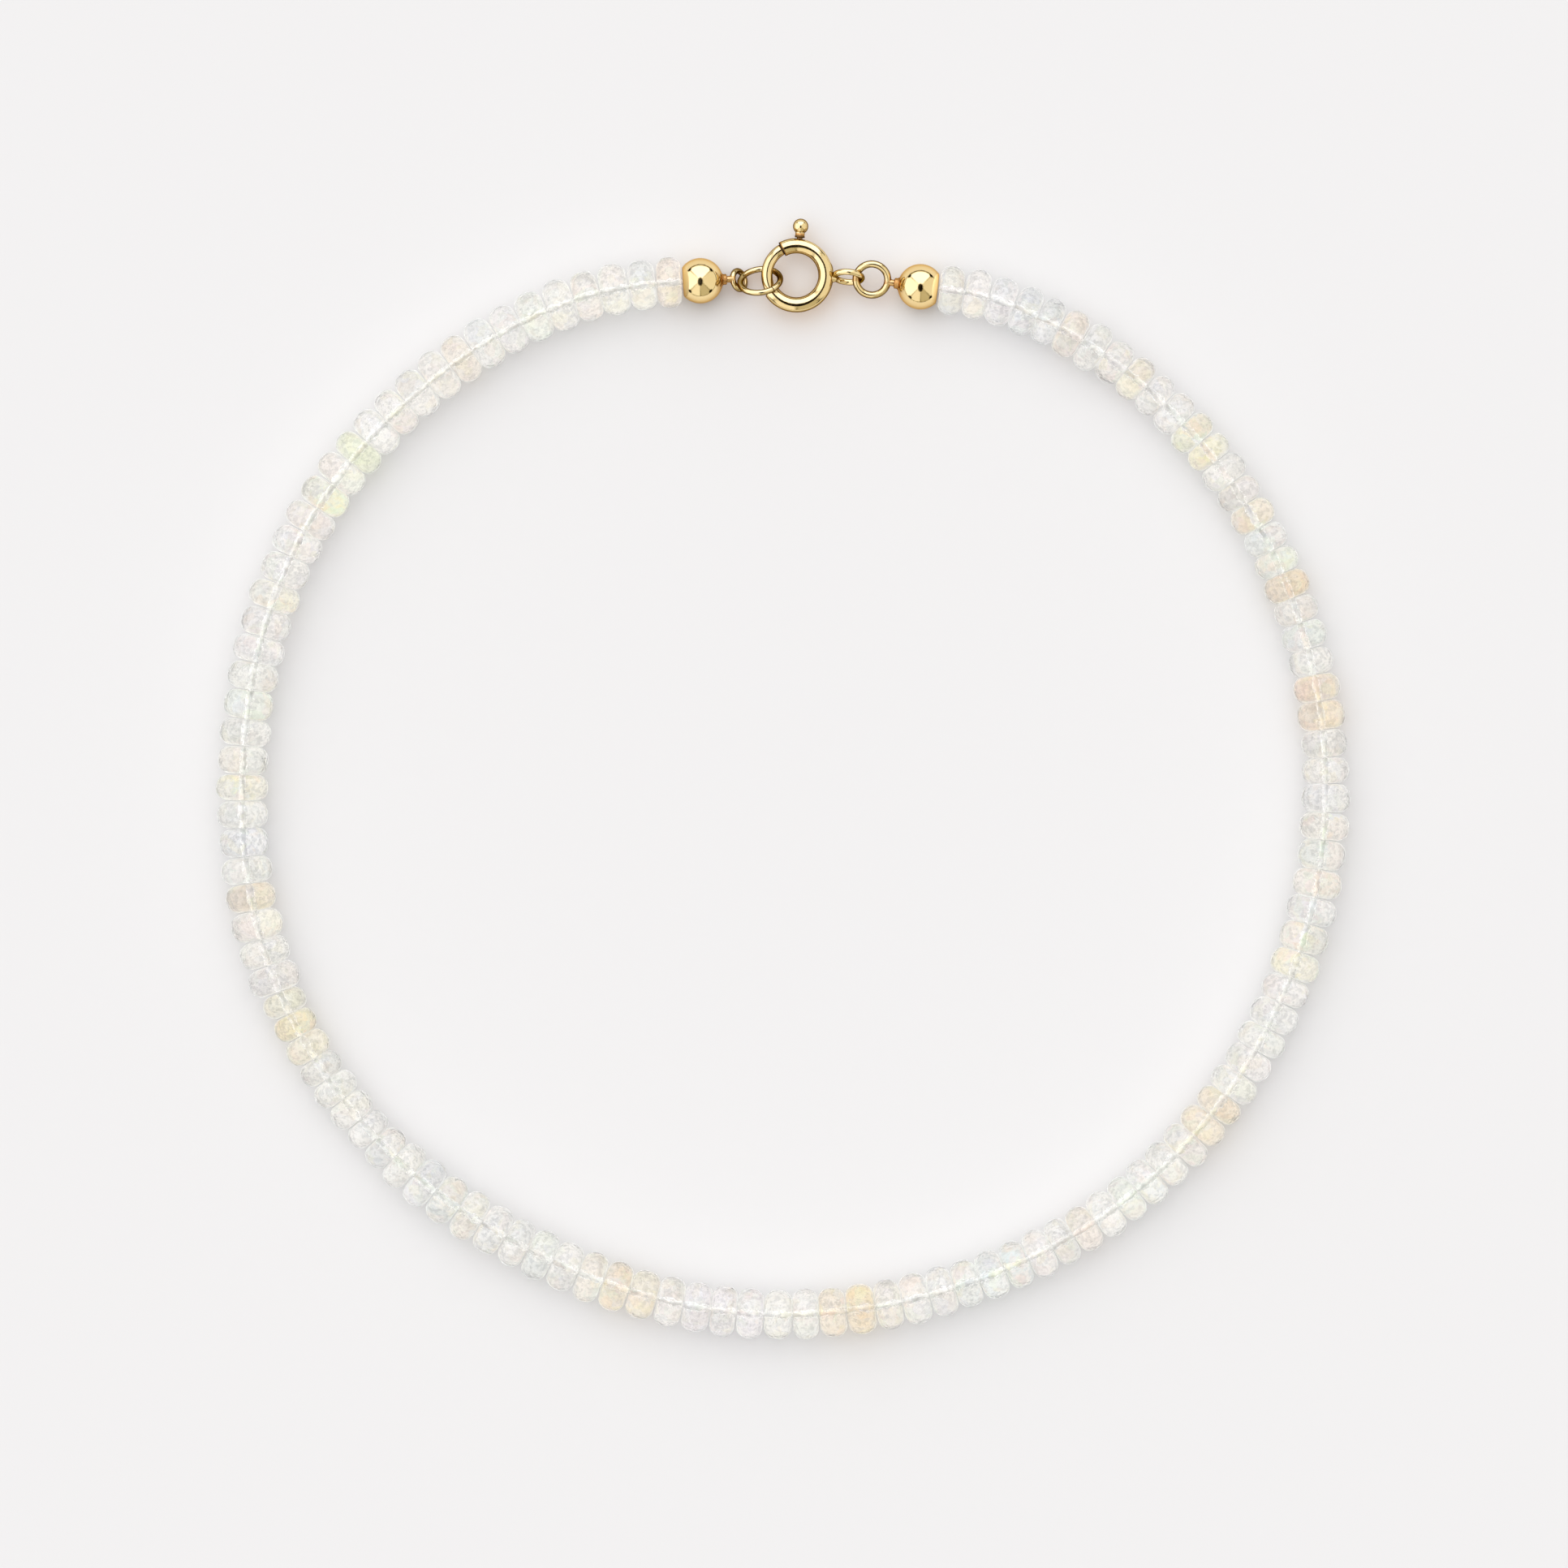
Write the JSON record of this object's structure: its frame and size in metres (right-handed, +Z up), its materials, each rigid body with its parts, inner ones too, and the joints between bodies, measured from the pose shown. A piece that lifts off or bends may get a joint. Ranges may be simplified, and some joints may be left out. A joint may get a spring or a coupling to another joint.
{
  "type": "gemstone bracelet",
  "caption": "Closed loop of smooth opal rondelles on a thread, with gold ball ends, jump ring and a spring ring clasp whose gate slides open on a thumb knob.",
  "frame": {"origin": "on the surface that the bracelet lies on, under the middle of the loop", "axes": "+Z up out of the surface, +Y towards the clasp, +X to the clasp's right seen from above"},
  "size_m": [0.0678, 0.067, 0.0032],
  "materials": {
    "opal": "polished",
    "gold": "polished",
    "thread": "satin"
  },
  "bodies": {
    "root": {"ball_end_left": "gold", "jump_ring": "gold", "spring_ring": "gold", "ball_end_right": "gold", "beads_01": "opal", "beads_02": "opal", "beads_03": "opal", "beads_04": "opal", "beads_05": "opal", "beads_06": "opal", "beads_07": "opal", "beads_08": "opal", "beads_09": "opal", "beads_10": "opal", "beads_11": "opal", "beads_12": "opal", "beads_13": "opal", "beads_14": "opal", "beads_15": "opal", "beads_16": "opal", "beads_17": "opal", "beads_18": "opal", "beads_19": "opal", "beads_20": "opal", "beads_21": "opal", "beads_22": "opal", "beads_23": "opal"},
    "gate": {"gate": "gold"}
  },
  "joints": [
    {"name": "gate_slide", "type": "hinge", "parent": "root", "child": "gate", "pos_m": [0.00074, 0.03011, 0.00135], "axis": [0, 0, -1], "range_deg": [0, 62], "stiffness_Nm_per_rad": 0.001, "springref_deg": -11.46}
  ]
}
